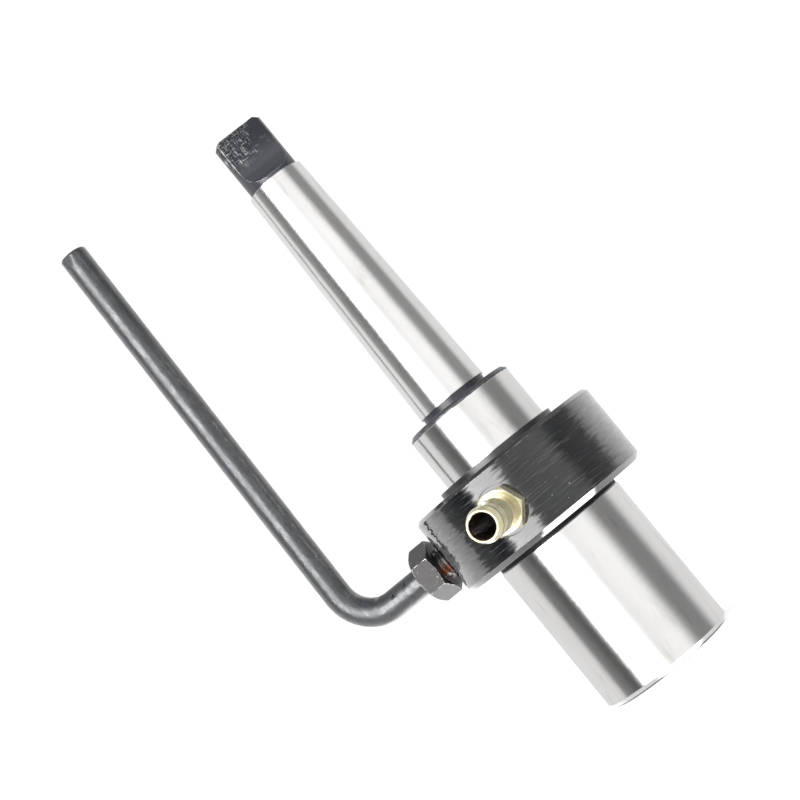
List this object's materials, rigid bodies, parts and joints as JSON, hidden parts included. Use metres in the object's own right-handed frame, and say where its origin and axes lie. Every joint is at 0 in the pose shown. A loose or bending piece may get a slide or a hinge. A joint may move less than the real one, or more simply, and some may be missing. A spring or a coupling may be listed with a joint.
{
  "type": "annular cutter arbor",
  "caption": "Morse taper arbor with a straight-shank socket for annular cutters, a free-turning coolant ring with a hose barb, and a bent rod that stops the ring.",
  "frame": {"origin": "middle of the socket's end face, on the arbor's axis", "axes": "+Z along the arbor's axis towards the tang; the stop rod leaves the ring towards -X and the hose barb towards -Y"},
  "size_m": [0.0817, 0.0676, 0.1646],
  "materials": {
    "ground_steel": "ground bright, with a black oxide tang and neck",
    "black_washer": "black oxide, satin",
    "black_clip": "black oxide spring steel",
    "black_ring": "black oxide over fine turning lines",
    "seal_rubber": "black nitrile rubber",
    "yellow_brass": "pale yellow, glossy",
    "black_rod": "mottled black oxide",
    "dark_nut": "black oxide worn at the edges",
    "black_screw": "black oxide",
    "plunger_steel": "turned",
    "spring_steel": "drawn wire"
  },
  "bodies": {
    "arbor": {"arbor_body": "ground_steel", "thrust_washer": "black_washer", "outer_circlip": "black_clip", "inner_circlip": "black_clip", "ejector_spring": "spring_steel"},
    "ring": {"coolant_ring": "black_ring", "upper_seal": "seal_rubber", "lower_seal": "seal_rubber", "hose_barb": "yellow_brass", "stop_rod": "black_rod", "jam_nut": "dark_nut"},
    "right_screw": {"clamp_screw_right": "black_screw"},
    "left_screw": {"clamp_screw_left": "black_screw"},
    "plunger": {"ejector_plunger": "plunger_steel"}
  },
  "joints": [
    {"name": "ring_spin", "type": "hinge", "parent": "arbor", "child": "ring", "pos_m": [0, 0, 0.05071], "axis": [0, 0, 1], "continuous": true},
    {"name": "right_screw_travel", "type": "slide", "parent": "arbor", "child": "right_screw", "axis": [-0.7071, -0.7071, 0], "range_m": [-0.001, 0.002]},
    {"name": "left_screw_travel", "type": "slide", "parent": "arbor", "child": "left_screw", "axis": [0.7071, -0.7071, 0], "range_m": [-0.001, 0.002]},
    {"name": "plunger_travel", "type": "slide", "parent": "arbor", "child": "plunger", "axis": [0, 0, 1], "range_m": [0, 0.03], "stiffness_N_per_m": 300, "springref_m": -0.012, "deforming": ["ejector_spring"]}
  ]
}
